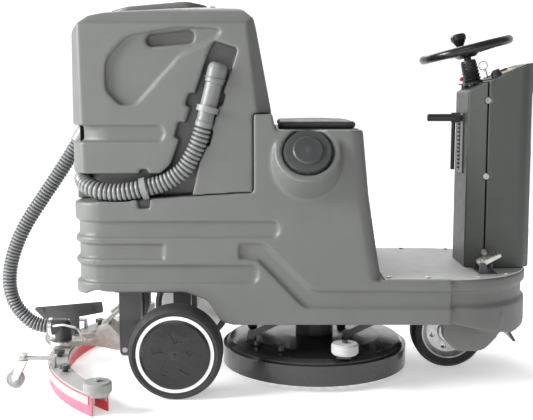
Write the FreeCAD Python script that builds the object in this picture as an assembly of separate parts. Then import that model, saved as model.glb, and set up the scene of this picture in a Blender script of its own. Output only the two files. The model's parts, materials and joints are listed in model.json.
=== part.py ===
"""Ride-on floor scrubber, built as an assembly of separate parts.

Millimetres. +X is forward, +Y is the driver's left, +Z is up and the floor is Z = 0.
Layout coordinates have X = 0 at the layout datum, 274 mm ahead of the rear axle; save() moves every part by
-X_CENTRE, so that the finished frame has its origin on the floor under the centre of the bounding box.
"""

import math
import os

import FreeCAD
import Part

V = FreeCAD.Vector
X_AXIS, Y_AXIS, Z_AXIS = V(1, 0, 0), V(0, 1, 0), V(0, 0, 1)

# ---------------------------------------------------------------- driving dimensions
X_REAR = -785.0  # rear end of the guard bar
X_FRONT = 772.26  # front lip of the steering console
X_CENTRE = (X_REAR + X_FRONT) / 2

BODY_HALF = 280.0  # half width of the lower body
BODY_REAR = -567.0
TANK_LEAN = 7.0  # the tank leans forward by this much at the top of its rear face
GROOVE_DEPTH = 10.0
SEAM_REAR_Z, SEAM_FRONT_Z = 540.0, 570.0  # joint line between recovery tank and lower body
SEAM_GAP = 2.0
FLOOR_Z = 322.0  # top of the moulding under the foot plate
SKIRT_Z = 197.0  # lower edge of the skirt
REAR_EDGE_Z = 291.0  # lower edge of the body over the rear wheels
SEAT_DECK_Z = 742.0
BACK_WALL_X, BACK_WALL_Z = -58.0, 785.0  # wall of the lower body between seat and recovery tank
NOSE_X, NOSE_R = 495.0, 270.0
CAVITY_CEILING = 305.0

BAY = (-46.0, 226.0, 180.0, 330.0)  # battery bay: x0, x1, half width, floor

TANK_HALF_LOW, TANK_HALF_HIGH = 277.0, 266.0
TOWER_CORNER_R = 40.0
CORNER_R = 90.0  # rear vertical corners of both mouldings

PLATE_T = 4.0
FOOT_TOP = FLOOR_Z + PLATE_T

REAR_AXLE = V(-274, 0, 130)
REAR_R, REAR_W, REAR_OUT = 130.0, 85.0, 345.0
RIM_R, CAP_R = 107.5, 98.0
FRONT_AXLE = V(540, 0, 112.5)
FRONT_R, FRONT_W, FRONT_RIM_R = 112.5, 70.0, 95.0
STUB_R, RUN = 12.5, 0.06  # axle radius and running clearance

WHEEL_TILT = math.radians(13.8)  # steering wheel plane, up at the front
WHEEL_CENTRE = V(576, 0, 973)
STEER_R, STEER_TUBE = 127.5, 13.0
COLUMN_REAR_X, COLUMN_SEAM_X, COLUMN_FRONT_X = 569.0, 624.0, 768.0
COLUMN_HALF_REAR, COLUMN_HALF = 84.0, 104.0
PANEL_REAR_Z, PANEL_FRONT_Z = 850.0, 925.0

DECK = V(126, 0, 0)
DECK_R, DECK_TOP, DECK_RIM_Z = 272.0, 106.0, 60.0
SKIRT_BOTTOM, BRUSH_BOTTOM = 20.0, 8.0
ARM_L, ARM_Y = 120.0, 107.0
ARM_FRONT_X, ARM_REAR_X, ARM_Z = 326.0, 40.0, 178.0

SQ_X, SQ_R = -49.0, 640.0  # centre and outer radius of the curved squeegee
SQ_W, SQ_TOP, SQ_BAND = 58.0, 60.0, 30.0
SQ_HALF_ANGLE = 47.4
PORT = V(-658, 0, 0)
ARM_PIVOT = V(-457, 0, 63)
ARM_KNUCKLE = V(-523, 0, 123)
CASTER_Y, STEM_X, CASTER_X, CASTER_R = 225.0, -720.0, -747.0, 26.0
ROLLER_X, ROLLER_Y = -466.0, 455.0  # wall rollers at the tips of the squeegee

HOSE_R = 23.0  # suction hose
DRAIN_R = 25.0  # drain hose
DRAIN_Y = -262.0
SUCTION_ROUTE = [
    (-595, 0, 697), (-622, 0, 655), (-660, 0, 597), (-713, 0, 521), (-766, 0, 443),
    (-805, 0, 360), (-824, 0, 272), (-811, 0, 196), (-765, 0, 140), (-722, 0, 122), (-690, 0, 122),
]
DRAIN_ROUTE = [
    (-547, -64, 618), (-547, -130, 611), (-548, -196, 598), (-511, -251, 577), (-443, DRAIN_Y, 566),
    (-369, DRAIN_Y, 578), (-301, DRAIN_Y, 596), (-251, DRAIN_Y, 629), (-224, DRAIN_Y, 675),
    (-205, DRAIN_Y, 716), (-196, DRAIN_Y, 751),
]
CUFF_DIR = V(9, 0, 35).normalize()
CUFF_TOP = V(*DRAIN_ROUTE[-1]) + CUFF_DIR * 120.6
CLIPS = [(V(-361, DRAIN_Y, 580), V(68, 0, 18)), (V(-184, DRAIN_Y, 798), CUFF_DIR)]

FILL = V(90, -262, 664)  # centre of the filler cap seat
FILL_TILT = math.radians(30)
FILL_AXIS = V(0, -math.cos(FILL_TILT), math.sin(FILL_TILT))
FILL_CAP_R, FILL_RING_R, NECK_R = 69.0, 82.0, 46.0


# ---------------------------------------------------------------- helpers
def box(x0, x1, y0, y1, z0, z1):
    return Part.makeBox(x1 - x0, y1 - y0, z1 - z0, V(x0, y0, z0))


def rod(start, end, radius):
    return Part.makeCylinder(radius, (end - start).Length, start, end - start)


def tube(start, end, outer, inner):
    return rod(start, end, outer).cut(rod(start, end, inner))


def across(x, z, y0, y1, radius):
    """A round bar along Y."""
    return rod(V(x, y0, z), V(x, y1, z), radius)


def fuse(*shapes):
    whole = shapes[0].multiFuse(list(shapes[1:])) if len(shapes) > 1 else shapes[0]
    return whole.removeSplitter()


def mirror(shape):
    return shape.mirror(V(0, 0, 0), Y_AXIS)


def both(shape):
    return [shape, mirror(shape)]


def corner_arc(before, corner, after, radius):
    """Start, middle and end of the arc that rounds a corner."""
    u, w = (before - corner).normalize(), (after - corner).normalize()
    half = u.getAngle(w) / 2
    reach = radius / math.tan(half)
    bisector = (u + w).normalize()
    centre = corner + bisector * (radius / math.sin(half))
    return corner + u * reach, centre - bisector * radius, corner + w * reach


def outline(points, radii, closed=True):
    """A wire through the points with each corner rounded to its radius."""
    n = len(points)
    edges, ends = [], []
    for i, (p, r) in enumerate(zip(points, radii)):
        if r > 0 and (closed or 0 < i < n - 1):
            a, m, b = corner_arc(points[i - 1], p, points[(i + 1) % n], r)
            edges.append((a, m, b))
        else:
            edges.append((p, None, p))
    wire = []
    for i, (a, m, b) in enumerate(edges):
        if m is not None:
            wire.append(Part.Arc(a, m, b).toShape())
        if closed or i < n - 1:
            nxt = edges[(i + 1) % n][0]
            if (nxt - b).Length > 1e-6:
                wire.append(Part.LineSegment(b, nxt).toShape())
    return Part.Wire(Part.__sortEdges__(wire))


def spread(radii, n):
    return list(radii) if hasattr(radii, "__len__") else [radii] * n


def side_prism(points, y0, y1, radii=0):
    """An outline given as (x, z), extruded along Y."""
    wire = outline([V(x, y0, z) for x, z in points], spread(radii, len(points)))
    return Part.Face(wire).extrude(V(0, y1 - y0, 0))


def plan_prism(points, z0, z1, radii=0):
    """An outline given as (x, y), extruded along Z."""
    wire = outline([V(x, y, z0) for x, y in points], spread(radii, len(points)))
    return Part.Face(wire).extrude(V(0, 0, z1 - z0))


def section_prism(points, x0, x1, radii=0):
    """An outline given as (y, z), extruded along X."""
    wire = outline([V(x0, y, z) for y, z in points], spread(radii, len(points)))
    return Part.Face(wire).extrude(V(x1 - x0, 0, 0))


def revolve(profile, centre, axis):
    """Turns an (r, h) outline round an axis through centre; h runs along the axis."""
    z = V(axis).normalize()
    x = X_AXIS.cross(z) if abs(z.dot(X_AXIS)) < 0.9 else Y_AXIS.cross(z)
    x.normalize()
    wire = Part.makePolygon([centre + x * r + z * h for r, h in profile + profile[:1]])
    return Part.Face(wire).revolve(centre, z, 360)


def round_edges(shape, radius, keep):
    """Fillets the edges for which keep(edge) is true."""
    edges = [e for e in shape.Edges if keep(e)]
    return shape.makeFillet(radius, edges) if edges else shape


def bolt(foot, axis, head_r, head_h, depth=0.0):
    """A hexagon-head bolt whose head stands on foot; depth sinks its shank into what it holds."""
    z = V(axis).normalize()
    side = X_AXIS.cross(z) if abs(z.dot(X_AXIS)) < 0.9 else Y_AXIS.cross(z)
    side.normalize()
    up = z.cross(side)
    corners = [
        foot + side * (head_r * math.cos(a)) + up * (head_r * math.sin(a))
        for a in (math.radians(60 * k) for k in range(7))
    ]
    head = Part.Face(Part.makePolygon(corners)).extrude(z * head_h)
    return fuse(head, rod(foot - z * depth, foot, head_r * 0.5)) if depth else head


def route_wire(points):
    """Straight runs joined by tangent arcs, each as large as its two runs allow, with the arcs' radii."""
    pts = [V(*p) for p in points]
    radii = [0.0]
    for a, b, c in zip(pts, pts[1:], pts[2:]):
        turn = math.pi - (a - b).getAngle(c - b)
        radii.append(0.45 * min((a - b).Length, (c - b).Length) / math.tan(turn / 2))
    radii.append(0.0)
    return outline(pts, radii, closed=False), radii[1:-1]


def hose(name, points, radius):
    """A plain round tube along a route."""
    wire, radii = route_wire(points)
    first = V(*points[0])
    ring = Part.Wire(Part.makeCircle(radius, first, V(*points[1]) - first))
    solid = wire.makePipeShell([ring], True, True, 1)
    print(name, "length", round(wire.Length), "radii", [round(r) for r in radii],
          "volume ratio", round(solid.Volume / (math.pi * radius**2 * wire.Length), 4))
    return solid


PARTS = {}


def save(node, *shapes):
    """Adds solids to the node of this name."""
    PARTS.setdefault(node, []).extend(s for shape in shapes for s in shape.Solids)


def write_parts():
    """Writes one STEP per node, with its solids moved to the finished frame."""
    os.makedirs("parts", exist_ok=True)
    for node, solids in PARTS.items():
        whole = (solids[0] if len(solids) == 1 else Part.makeCompound(solids)).copy()
        whole.translate(V(-X_CENTRE, 0, 0))
        bad = [s for s in whole.Solids if not s.isValid() or s.Volume <= 0]
        print(f"{node:22s} solids {len(solids):3d}", "INVALID" if bad else "")
        whole.exportStep(f"parts/{node}.step")
    print(len(PARTS), "nodes")


# ---------------------------------------------------------------- lower body
SEAM_SLOPE = (SEAM_FRONT_Z - SEAM_REAR_Z) / (BACK_WALL_X - BODY_REAR)


def seam_z(x, lift=0.0):
    return SEAM_REAR_Z + (x - BODY_REAR) * SEAM_SLOPE + lift


def body_side_profile():
    """Side outline of the lower body, without the front of the seat tower, clockwise from the rear."""
    points = [
        (BODY_REAR, REAR_EDGE_Z - 9), (BODY_REAR, seam_z(BODY_REAR)),
        (BACK_WALL_X, SEAM_FRONT_Z), (BACK_WALL_X, BACK_WALL_Z),
        (-7, BACK_WALL_Z), (1, SEAT_DECK_Z), (150, SEAT_DECK_Z),
        (150, FLOOR_Z), (NOSE_X + NOSE_R, FLOOR_Z),
        (NOSE_X + NOSE_R, 160), (690, 150), (500, SKIRT_Z), (-118, SKIRT_Z),
        (-150, 206), (-190, 268), (-250, REAR_EDGE_Z), (-468, REAR_EDGE_Z),
        (-500, REAR_EDGE_Z + 5), (-530, REAR_EDGE_Z - 9),
    ]
    radii = [12, 4, 4, 5, 5, 3, 0, 0, 14, 10, 40, 60, 20, 30, 30, 40, 15, 20, 10]
    return points, radii


def body_plan(half, rear, front_r, z0, z1):
    """Plan outline with rounded rear corners and a round nose."""
    nose = Part.makeCylinder(front_r, z1 - z0, V(NOSE_X, 0, z0))
    corner = max(CORNER_R - (rear - BODY_REAR), 20)
    block = plan_prism(
        [(rear, -half), (rear, half), (NOSE_X, half), (NOSE_X, -half)], z0, z1, [corner, corner, 0, 0]
    )
    return fuse(block, nose)


def groove_core(z0, z1):
    """What is left of the body inside the pressed channels."""
    d = GROOVE_DEPTH
    return body_plan(BODY_HALF - d, BODY_REAR + d, NOSE_R - d, z0, z1)


def groove(z0, z1, x_end, end_r):
    """A channel pressed into the sides and round the rear of the lower body."""
    slab = box(BODY_REAR - 40, x_end, -BODY_HALF - 40, BODY_HALF + 40, z0, z1)
    if end_r:
        slab = side_prism(
            [(BODY_REAR - 40, z0), (BODY_REAR - 40, z1), (x_end, z1), (x_end, z0)],
            -BODY_HALF - 40, BODY_HALF + 40, [0, 0, end_r, end_r],
        )
    return slab.cut(groove_core(z0 - 1, z1 + 1))


def front_groove():
    """The channel that starts behind the seat, dives, and runs round the nose."""
    band = side_prism(
        [(-100, 386), (-100, 428), (-30, 428), (104, 294), (NOSE_X + NOSE_R + 40, 290),
         (NOSE_X + NOSE_R + 40, 242), (84, 245), (-46, 381)],
        -BODY_HALF - 40, BODY_HALF + 40, [4, 4, 40, 50, 0, 0, 50, 20],
    )
    return band.cut(groove_core(200, 460))


def filler_boss():
    """The swelling on the right side that carries the tilted filler opening."""
    ring = Part.Wire(Part.makeCircle(FILL_RING_R + 9, FILL + FILL_AXIS * 42, FILL_AXIS))
    foot = Part.Wire(Part.makeCircle(104, V(FILL.x, -262, FILL.z - 26), V(0, -1, 0)))
    cone = Part.makeLoft([foot, ring], True, True)
    trim = box(-20, 230, -400, -250, 500, SEAT_DECK_Z - 4)
    return cone.common(trim)


def wheel_guard():
    """The rounded cheek beside the front wheel, on the right."""
    return side_prism(
        [(480, 215), (484, 145), (520, 106), (600, 106), (640, 150), (655, 215)],
        -226, -190, [0, 28, 40, 50, 30, 0],
    )


def main_body():
    points, radii = body_side_profile()
    lower = side_prism(points, -320, 320, radii).common(body_plan(BODY_HALF, BODY_REAR, NOSE_R, 100, 800))
    lower = fuse(lower, tower_front(), filler_boss(), *both(wheel_guard()))
    for cut in (
        groove(445, 490, 13, 20), groove(383, 427, -306, 0), groove(316, 366, -45, 22), front_groove(),
        lower_clip_notch(), rear_hose_rest(),
    ):
        lower = lower.cut(cut)
    for hollow in (
        under_cavity(), battery_bay(), solution_cavity(), filler_bore(), seat_rebate(), chassis_tunnel(),
    ):
        lower = lower.cut(hollow)
    return lower.removeSplitter()


def tower_front():
    """Front of the seat tower, with its two upright corners rounded."""
    block = side_prism(
        [(100, 300), (100, SEAT_DECK_Z), (244, SEAT_DECK_Z), (262, 560), (284, 420), (304, 300)],
        -BODY_HALF, BODY_HALF, [0, 0, 0, 120, 120, 0],
    )
    return round_edges(
        block, TOWER_CORNER_R,
        lambda e: e.BoundBox.YLength < 0.01 and e.BoundBox.XMin > 240 and e.BoundBox.ZLength > 5,
    )


def lower_clip_notch():
    return box(-378, -344, -BODY_HALF - 20, -BODY_HALF + 24, seam_z(-360) - 26, seam_z(-360) + 5)


def rear_hose_rest():
    """Dip in the top edge at the right rear corner, where the drain hose goes round."""
    wire, _ = route_wire([(x, y, z - 2) for x, y, z in DRAIN_ROUTE[1:6]])
    start = V(*DRAIN_ROUTE[1]) - V(0, 0, 2)
    ring = Part.Wire(Part.makeCircle(DRAIN_R + 3, start, V(*DRAIN_ROUTE[2]) - V(*DRAIN_ROUTE[1])))
    return wire.makePipeShell([ring], True, True, 1)


def under_cavity():
    """Open space under the foot plate and the battery floor for the brush deck, drive wheel and chassis."""
    half = BODY_HALF - 16
    plan = body_plan(half, BODY_REAR, NOSE_R - 16, 60, CAVITY_CEILING)
    room = plan.common(box(-104, 900, -400, 400, 60, CAVITY_CEILING))
    return room.cut(box(470, 665, -226, -190, 60, 215)).cut(box(470, 665, 190, 226, 60, 215))


def battery_bay():
    x0, x1, half, floor = BAY
    return plan_prism([(x0, -half), (x0, half), (x1, half), (x1, -half)], floor, SEAT_DECK_Z + 60, 12)


def solution_cavity():
    """Water space: behind the battery bay and on both sides of it."""
    rear = plan_prism(
        [(BODY_REAR + 16, -BODY_HALF + 16), (BODY_REAR + 16, BODY_HALF - 16),
         (BACK_WALL_X + 6, BODY_HALF - 16), (BACK_WALL_X + 6, -BODY_HALF + 16)],
        REAR_EDGE_Z + 24, seam_z(BODY_REAR) - 62, [70, 70, 8, 8],
    )
    rear_upper = box(-330, BACK_WALL_X + 6, -BODY_HALF + 70, BODY_HALF - 70, 440, seam_z(-330) - 8)
    sides = [
        box(BACK_WALL_X, 214, BAY[2] + 8, BODY_HALF - 16, CAVITY_CEILING + 12, SEAT_DECK_Z - 30),
        box(BACK_WALL_X, 214, -BODY_HALF + 16, -BAY[2] - 8, CAVITY_CEILING + 12, SEAT_DECK_Z - 30),
    ]
    return fuse(rear, rear_upper, *sides)


def filler_bore():
    """Neck of the filler, and the seat of its cap."""
    neck = rod(FILL - FILL_AXIS * 30, FILL + FILL_AXIS * 80, NECK_R)
    seat = rod(FILL + FILL_AXIS * 24, FILL + FILL_AXIS * 120, FILL_CAP_R + 2)
    return fuse(neck, seat)


def seat_rebate():
    """Ledge that the seat pan drops into, and the slot for its hinge."""
    return plan_prism([(3, -236), (3, 236), (236, 236), (236, -236)], SEAT_DECK_Z - 8, SEAT_DECK_Z + 60, 10)


# ---------------------------------------------------------------- recovery tank
TANK_TOP = [(-512, 1052), (-470, 1062), (-202, 1079), (-92, 1074)]


def tank_block():
    """Outside of the recovery tank before anything is pressed into it."""
    profile = side_prism(
        [(BODY_REAR, seam_z(BODY_REAR, SEAM_GAP)), (BODY_REAR + TANK_LEAN, 1010), *TANK_TOP,
         (-58, 1044), (-50, 1008),
         (-9, BACK_WALL_Z + SEAM_GAP), (BACK_WALL_X - SEAM_GAP, BACK_WALL_Z + SEAM_GAP),
         (BACK_WALL_X - SEAM_GAP, SEAM_FRONT_Z + SEAM_GAP)],
        -320, 320, [0, 25, 20, 60, 200, 20, 20, 20, 3, 3, 0],
    )
    section = section_prism(
        [(-TANK_HALF_LOW, 530), (-TANK_HALF_HIGH, 1030), (-218, 1074), (-120, 1090), (120, 1090),
         (218, 1074), (TANK_HALF_HIGH, 1030), (TANK_HALF_LOW, 530)],
        -700, 100, [0, 20, 60, 100, 100, 60, 20, 0],
    )
    corner = CORNER_R + 22
    plan = plan_prism(
        [(BODY_REAR, -300), (BODY_REAR, 300), (60, 300), (60, -300)], 500, 1100, [corner, corner, 0, 0]
    )
    return profile.common(section).common(plan).cut(front_corner_cut())


def front_corner_cut():
    """Slanted flats on the two front corners of the tank."""
    cuts = []
    for s in (-1, 1):
        low = [V(-66, s * 300, 700), V(20, s * 300, 700), V(20, s * 214, 700)]
        high = [V(-120, s * 300, 1110), V(-30, s * 300, 1110), V(-30, s * 206, 1110)]
        low_wire, high_wire = Part.makePolygon(low + low[:1]), Part.makePolygon(high + high[:1])
        cuts.append(Part.makeLoft([low_wire, high_wire], True, True))
    return fuse(*cuts)


def teardrop():
    """Shallow teardrop pressed into the right side of the tank."""
    points = [(-140, 1014), (-262, 1021), (-402, 996), (-462, 930), (-462, 850), (-422, 808), (-378, 812),
              (-312, 884), (-252, 948), (-160, 990)]
    return side_prism(points, -320, -TANK_HALF_HIGH + 11, [9, 120, 60, 60, 40, 30, 40, 90, 90, 12])


def grip_recess():
    """Deep finger recess under the top of the tank, for lifting it."""
    points = [(-352, 966), (-350, 1000), (-222, 1014), (-218, 978)]
    return side_prism(points, -320, -228, [16, 16, 16, 16])


def tank_rib():
    """Channel pressed into the rear half of the tank, round its rear corners."""
    slab = side_prism([(-620, 710), (-620, 754), (-302, 754), (-302, 710)], -400, 400, [0, 0, 20, 20])
    rear, corner = BODY_REAR + 12, CORNER_R + 12
    core = plan_prism([(rear, -263), (rear, 263), (0, 263), (0, -263)], 700, 760, [corner, corner, 0, 0])
    return slab.cut(core)


def drain_channel():
    """The channel on the right side that holds the drain hose, with steps where the clips are."""
    floor_y = DRAIN_Y + DRAIN_R + 6
    slope = [(-620, 500), (-620, 622), (-316, 622), (-288, 646), (-258, 728), (-183, 945), (-166, 983),
             (-101, 962), (-118, 906), (-190, 720), (-216, 620), (-240, 500)]
    channel = side_prism(slope, -330, floor_y, [0, 0, 14, 30, 0, 0, 6, 6, 0, 60, 40, 0])
    steps = [
        side_prism([(-277, 722), (-264, 766), (-168, 740), (-180, 696)], -330, floor_y, 3),
        side_prism([(-247, 806), (-236, 842), (-133, 842), (-145, 806)], -330, floor_y, 3),
        box(-374, -349, -330, floor_y, 600, 634),
    ]
    inner_x = -517
    bend = plan_prism(
        [(-620, -330), (-620, -40), (inner_x, -40), (inner_x, floor_y), (-300, floor_y), (-300, -330)],
        500, 640, [0, 0, 10, 40, 0, 0],
    )
    corner = box(-620, -420, -330, -160, 500, 622).common(bend)
    rear = box(-620, inner_x, -160, -40, 580, 648)
    return fuse(channel, *steps, corner, rear)


def hose_clearance():
    """Room for the drain hose, its cuff and its two clips where they press into the moulding."""
    wire, _ = route_wire(DRAIN_ROUTE)
    start = V(*DRAIN_ROUTE[0])
    ring = Part.Wire(Part.makeCircle(DRAIN_R + 1.5, start, V(*DRAIN_ROUTE[1]) - start))
    straps = [rod(c - V(a).normalize() * 10, c + V(a).normalize() * 10, DRAIN_R + 7) for c, a in CLIPS]
    cuff = rod(V(*DRAIN_ROUTE[-1]), CUFF_TOP, DRAIN_R + 1.5)
    return fuse(wire.makePipeShell([ring], True, True, 1), cuff, *straps)


def tank_hollow():
    """Dirty-water space."""
    rear = BODY_REAR + 18
    profile = side_prism(
        [(rear, 668), (rear, 1000), (-505, 1040), (-470, 1050), (-202, 1066), (-104, 1060), (-76, 1034),
         (-30, 800), (BACK_WALL_X - 10, 786), (BACK_WALL_X - 10, 600), (-190, 600), (-230, 668)],
        -400, 400, 8,
    )
    section = section_prism(
        [(-222, 560), (-222, 1010), (-190, 1058), (-100, 1072), (190, 1072), (250, 1020), (258, 560)],
        -700, 100, 12,
    )
    plan = plan_prism([(rear, -250), (rear, 259), (60, 259), (60, -250)], 540, 1100, [70, 90, 0, 0])
    return profile.common(section).common(plan)


LID_X, LID_OPEN_R = -330.0, 112.0


def recovery_tank():
    tank = tank_block()
    for cut in (*both(teardrop()), *both(grip_recess()), tank_rib(), drain_channel(), hose_clearance()):
        tank = tank.cut(cut)
    tank = tank.cut(tank_hollow()).cut(rod(V(LID_X, 0, 1040), V(LID_X, 0, 1110), LID_OPEN_R))
    tank = tank.cut(rod(V(-600, 0, 735), V(-500, 0, 735), HOSE_R - 4))
    return tank.removeSplitter()


PORT_DIR = V(*SUCTION_ROUTE[1]).sub(V(*SUCTION_ROUTE[0])).normalize()


def tank_hose_port():
    """Spigot on the back of the tank that the suction hose is pushed on to."""
    exit_point = V(*SUCTION_ROUTE[0])
    flange = tube(V(BODY_REAR + 12, 0, 735), V(BODY_REAR - 4, 0, 735), 42, HOSE_R - 4).cut(tank_block())
    start = exit_point - PORT_DIR * 46
    bore = rod(start - PORT_DIR * 5, exit_point + PORT_DIR, HOSE_R - 5)
    neck = rod(start, exit_point, HOSE_R + 3).cut(bore)
    neck = neck.cut(box(BODY_REAR - 1, BODY_REAR + 60, -60, 60, 600, 800))
    return fuse(flange, neck)


def lid_line(x):
    """Height of the tank's top under the lid."""
    return 1062 + (x + 470) * (1079 - 1062) / (470 - 202)


def tank_lid():
    x0, x1 = LID_X - 140, LID_X + 140
    rim = side_prism(
        [(x0, lid_line(x0) + 0.6), (x0 + 4, lid_line(x0) + 12), (x0 + 60, lid_line(x0) + 22),
         (x1 - 60, lid_line(x1) + 18), (x1 - 4, lid_line(x1) + 10), (x1, lid_line(x1) + 0.6)],
        -176, 176, [0, 6, 60, 60, 6, 0],
    )
    plan = plan_prism([(x0 - 3, -170), (x0 - 3, 170), (x1 + 3, 170), (x1 + 3, -170)], 1000, 1150, 70)
    plug = tube(V(LID_X, 0, 1052), V(LID_X, 0, 1076), LID_OPEN_R - 3, LID_OPEN_R - 9)
    knuckle = across(LID_HINGE.x, LID_HINGE.z, -60, 60, 6)
    arm = box(x1 - 3, LID_HINGE.x, -56, 56, lid_line(x1) + 1.5, lid_line(x1) + 6)
    hinge = fuse(knuckle, arm).cut(across(LID_HINGE.x, LID_HINGE.z, -80, 80, 2.5 + RUN))
    cover = rim.common(plan)
    return [cover, plug.cut(cover), hinge.cut(cover)]


def vacuum_motor():
    return fuse(rod(V(-130, 0, 600), V(-130, 0, 700), 50), rod(V(-130, 0, 700), V(-130, 0, 740), 36))


def float_cage():
    """Cage under the lid that holds the float of the suction inlet."""
    return fuse(
        tube(V(LID_X, 0, 990), V(LID_X, 0, 1052), 46, 43), rod(V(LID_X, 0, 986), V(LID_X, 0, 990), 46),
        tube(V(LID_X, 0, 1048), V(LID_X, 0, 1052), LID_OPEN_R - 4, 43),
    )


LID_HINGE = V(LID_X + 150, 0, 1087)
LID_PIN = across(LID_HINGE.x, LID_HINGE.z, -72, 72, 2.5)


def tank_hinge_ears():
    """Ears on the tank that the lid's hinge pin runs through."""
    ears = []
    for y0 in (-72, 62):
        x = LID_HINGE.x
        profile = [(x - 9, 1070), (x - 9, 1094), (x + 9, 1094), (x + 12, 1070)]
        ear = side_prism(profile, y0, y0 + 10, [0, 6, 6, 0])
        ears.append(ear.cut(tank_block()).cut(LID_PIN))
    return ears


# ---------------------------------------------------------------- chassis
RAIL_Y0, RAIL_Y1 = 95.0, 120.0
RAIL_Z0, RAIL_Z1 = 255.0, 288.0


def chassis_tunnel():
    """Room for the chassis rails through the wheel arch."""
    return box(-480, -100, -150, 150, 150, RAIL_Z1 + 1)


def chassis_frame():
    rails = both(box(-475, 400, RAIL_Y0, RAIL_Y1, RAIL_Z0, RAIL_Z1))
    ties = [box(x, x + 30, -RAIL_Y0, RAIL_Y0, RAIL_Z0, RAIL_Z1) for x in (-475, -150)]
    axle_plates = both(box(-300, -248, RAIL_Y0, RAIL_Y1, 108, RAIL_Z0))
    front = box(370, 652, -RAIL_Y1, RAIL_Y1, RAIL_Z1, 303)
    hangers = both(side_prism(
        [(-468, RAIL_Z0), (-392, RAIL_Z0), (-394, 175), (-440, 45), (-472, 45), (-472, 175)],
        52, 58, [0, 0, 8, 12, 12, 0],
    ))
    boxes = both(box(-462, -398, 58, RAIL_Y1, 170, RAIL_Z0))
    knees = both(box(-462, -398, 45, RAIL_Y0, 240, RAIL_Z0))
    deck_hangers = []
    for x in (ARM_FRONT_X, ARM_REAR_X):
        deck_hangers += both(box(x - 16, x + 16, 113, 119, ARM_Z - 14, RAIL_Z0))
    frame = fuse(*rails, *ties, *axle_plates, front, *hangers, *boxes, *knees, *deck_hangers)
    frame = frame.cut(across(REAR_AXLE.x, REAR_AXLE.z, -200, 200, STUB_R))
    frame = frame.cut(across(ARM_PIVOT.x, ARM_PIVOT.z, -80, 80, 8))
    for x in (ARM_FRONT_X, ARM_REAR_X):
        frame = frame.cut(across(x, ARM_Z, -130, 130, 7))
    return frame.cut(rod(V(FRONT_AXLE.x, 0, 280), V(FRONT_AXLE.x, 0, 310), 28))


def fork_bearing():
    return tube(V(FRONT_AXLE.x, 0, RAIL_Z1), V(FRONT_AXLE.x, 0, 303), 28, 15 + RUN)


def pivot_pin(x, z, half, radius):
    return across(x, z, -half, half, radius)


def front_bracket():
    """Folded sheet under the nose."""
    sheet = side_prism(
        [(660, 299), (668, 299), (702, 154), (740, 92), (732, 90), (694, 150), (656, 299)], -60, 60
    )
    return fuse(sheet, box(652, 668, -60, 60, 297, 303))


# ---------------------------------------------------------------- wheels
def tyre(centre, radius, width, inner, shoulder):
    h = width / 2
    profile = [
        (inner, -h + 4), (radius - shoulder, -h), (radius - 4, -h + 7), (radius, -h + 15), (radius, h - 15),
        (radius - 4, h - 7), (radius - shoulder, h), (inner, h - 4),
    ]
    return revolve(profile, centre, Y_AXIS)


def wheel_disc(centre, rim, width, bore, dish):
    h = width / 2 - 4
    profile = [
        (bore, -h + dish), (40, -h + dish), (rim - 14, -h + 3), (rim, -h), (rim, h), (rim - 14, h - 3),
        (40, h - dish), (bore, h - dish),
    ]
    return revolve(profile, centre, Y_AXIS)


def rear_wheel(side):
    centre = V(REAR_AXLE.x, side * (REAR_OUT - REAR_W / 2), REAR_AXLE.z)
    name = "left" if side > 0 else "right"
    rubber = tyre(centre, REAR_R, REAR_W, RIM_R, 12)
    disc = wheel_disc(centre, RIM_R, REAR_W, STUB_R + RUN, 14)
    out = V(0, side, 0)
    face = centre + out * (REAR_W / 2 - 4)
    ring = tube(face, face + out * 3, RIM_R, CAP_R)
    cap = revolve([(0, 0.5), (CAP_R - 0.5, 0.5), (CAP_R - 1, 4), (90, 7), (58, 10), (0, 12)], face, out)
    for k in range(5):
        slot = Part.makeBox(16, 30, 4, V(-8, -15, -2))
        slot.rotate(V(0, 0, 0), Z_AXIS, 24)
        slot.translate(V(0, 50, 0))
        slot.rotate(V(0, 0, 0), Z_AXIS, 72 * k)
        slot.rotate(V(0, 0, 0), X_AXIS, -90 * side)
        slot.translate(face + out * 9.5)
        cap = cap.cut(slot)
    save(f"rear_tyre_{name}", rubber)
    save(f"rear_hub_{name}", disc)
    save(f"rear_hub_{name}", ring)
    save(f"hub_cap_{name}", cap)


def front_wheel():
    centre = V(FRONT_AXLE.x, 0, FRONT_AXLE.z)
    save("front_tyre", tyre(centre, FRONT_R, FRONT_W, FRONT_RIM_R - 12, 10))
    disc = revolve(
        [(STUB_R + RUN, -30), (30, -30), (34, -20), (66, -17), (FRONT_RIM_R - 16, -30),
         (FRONT_RIM_R - 12, -31), (FRONT_RIM_R - 12, 31), (FRONT_RIM_R - 16, 30), (66, 17), (34, 20),
         (30, 30), (STUB_R + RUN, 30)],
        centre, Y_AXIS,
    )
    for k in range(6):
        a = math.radians(60 * k + 15)
        p = centre + V(50 * math.cos(a), 0, 50 * math.sin(a))
        disc = disc.cut(rod(p - V(0, 40, 0), p + V(0, 40, 0), 8))
    save("front_hub", disc)


def steering_fork():
    """Yoke over the drive wheel, with its stem and the drive motor on the left."""
    x = FRONT_AXLE.x
    legs = both(side_prism(
        [(x - 30, 268), (x - 24, 112), (x + 24, 112), (x + 30, 268)], 39, 46, [0, 23, 23, 0]
    ))
    yoke = box(x - 30, x + 30, -46, 46, 258, 272)
    stem = rod(V(x, 0, 270), V(x, 0, 303), 15)
    collar = rod(V(x, 0, 270), V(x, 0, 286), 24)
    motor = fuse(rod(V(x, 46, 112.5), V(x, 120, 112.5), 48), rod(V(x, 120, 112.5), V(x, 128, 112.5), 40))
    whole = fuse(*legs, yoke, stem, collar)
    bore = across(x, 112.5, -60, 46, STUB_R)
    save("steering_fork", whole.cut(bore))
    save("steering_fork", motor)
    save("steering_fork", across(x, 112.5, -50, 46, STUB_R), bolt(V(x, -50, 112.5), V(0, -1, 0), 14, 8))


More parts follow.
